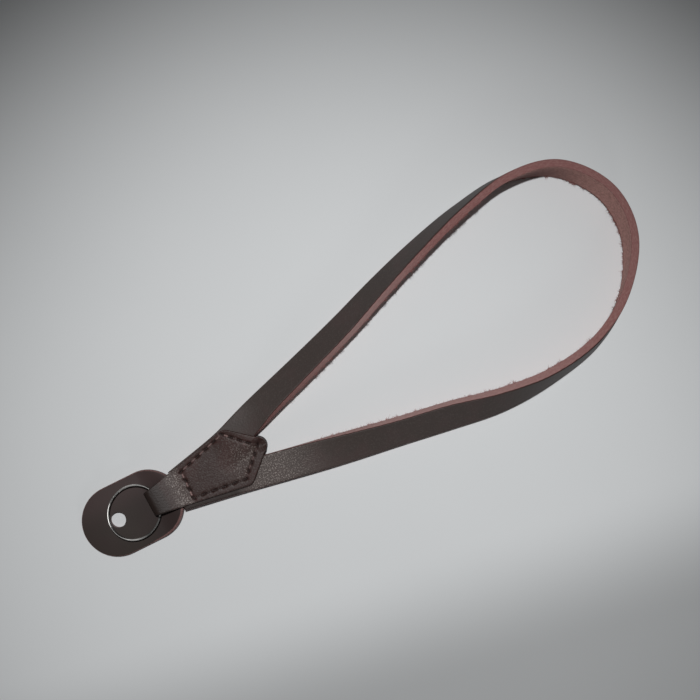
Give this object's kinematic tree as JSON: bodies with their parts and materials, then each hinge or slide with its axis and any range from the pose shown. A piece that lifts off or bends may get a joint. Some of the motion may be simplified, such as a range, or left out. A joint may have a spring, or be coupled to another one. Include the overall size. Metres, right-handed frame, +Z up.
{
  "type": "camera wrist strap",
  "caption": "Leather wrist loop with its ends stitched into a folded tab, a split ring for a camera's strap lug, and a leather pad behind the ring.",
  "frame": {"origin": "on the table, below the middle of the whole strap's box", "axes": "+X along the tab, from the ring to the far end of the wrist loop; +Z up from the table; +Y to the left of +X seen from above"},
  "size_m": [0.2088, 0.07, 0.0104],
  "materials": {
    "strap_leather": "dark brown grain, raw pinkish cut edges, suede flesh side",
    "tab_leather": "dark brown grain with a soft sheen",
    "ring_steel": "polished",
    "pad_leather": "dark brown grain, reddish cut rim"
  },
  "bodies": {
    "root": {"strap": "strap_leather", "ring_tab": "tab_leather", "ring": "ring_steel", "lug_pad": "pad_leather"}
  },
  "joints": []
}
